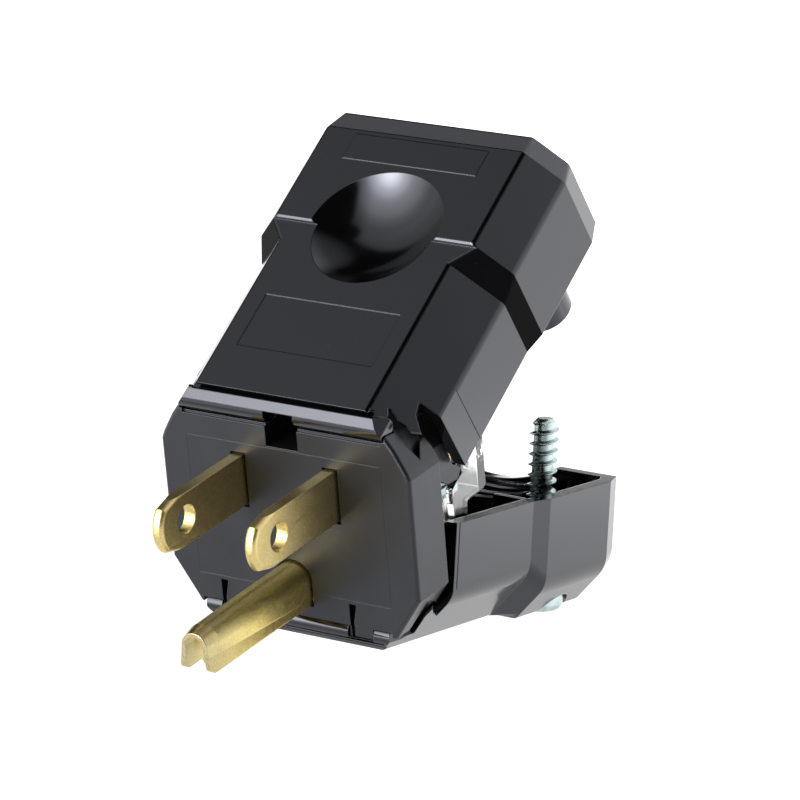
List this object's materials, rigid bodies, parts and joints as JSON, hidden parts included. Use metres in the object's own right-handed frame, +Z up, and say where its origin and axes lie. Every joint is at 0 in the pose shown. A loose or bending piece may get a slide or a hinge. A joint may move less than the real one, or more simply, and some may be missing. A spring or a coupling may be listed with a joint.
{
  "type": "straight blade plug",
  "caption": "Electrical plug with flat blades and a folded ground pin on a face block; its hinged housing halves swing open for wiring and close over the cord with long screws.",
  "frame": {"origin": "on the front face, midway between the blades", "axes": "-Y along the blades out of the face, +Z up away from the ground pin, +X to the right seen from the front"},
  "size_m": [0.0354, 0.0665, 0.0605],
  "materials": {
    "black_nylon": "moulded black nylon, satin to glossy",
    "clear_polycarbonate": "clear moulded polycarbonate",
    "brass": "rolled brass with fine draw lines",
    "nickel": "plated",
    "green_screw": "green dyed plating",
    "zinc_steel": "bright zinc plate"
  },
  "bodies": {
    "face": {"face_block": "black_nylon", "terminal_retainer": "clear_polycarbonate", "hot_blade": "brass", "neutral_blade": "brass", "ground_pin": "brass"},
    "upper_half": {"upper_housing": "black_nylon"},
    "lower_half": {"lower_housing": "black_nylon"},
    "right_screw": {"right_assembly_screw": "zinc_steel"},
    "left_screw": {"left_assembly_screw": "zinc_steel"},
    "hot_clamp": {"hot_terminal_screw": "brass", "hot_pressure_plate": "zinc_steel"},
    "neutral_clamp": {"neutral_terminal_screw": "nickel", "neutral_pressure_plate": "zinc_steel"},
    "ground_clamp": {"ground_terminal_screw": "green_screw", "ground_pressure_plate": "zinc_steel"}
  },
  "joints": [
    {"name": "upper_hinge", "type": "hinge", "parent": "face", "child": "upper_half", "pos_m": [0, 0.001, 0.009], "axis": [1, 0, 0], "range_deg": [-29.5, 60]},
    {"name": "lower_hinge", "type": "hinge", "parent": "face", "child": "lower_half", "pos_m": [0, 0.00115, -0.0172], "axis": [1, 0, 0], "range_deg": [-31.5, 13.5]},
    {"name": "right_screw_slide", "type": "slide", "parent": "lower_half", "child": "right_screw", "axis": [0, 0.2334, 0.9724], "range_m": [-0.005, 0.0003]},
    {"name": "left_screw_slide", "type": "slide", "parent": "lower_half", "child": "left_screw", "axis": [0, 0.2334, 0.9724], "range_m": [-0.005, 0.0003]},
    {"name": "hot_clamp_slide", "type": "slide", "parent": "face", "child": "hot_clamp", "axis": [0, 0, 1], "range_m": [0, 0.0018]},
    {"name": "neutral_clamp_slide", "type": "slide", "parent": "face", "child": "neutral_clamp", "axis": [0, 0, 1], "range_m": [0, 0.0018]},
    {"name": "ground_clamp_slide", "type": "slide", "parent": "face", "child": "ground_clamp", "axis": [0, 0, 1], "range_m": [0, 0.0018]}
  ]
}
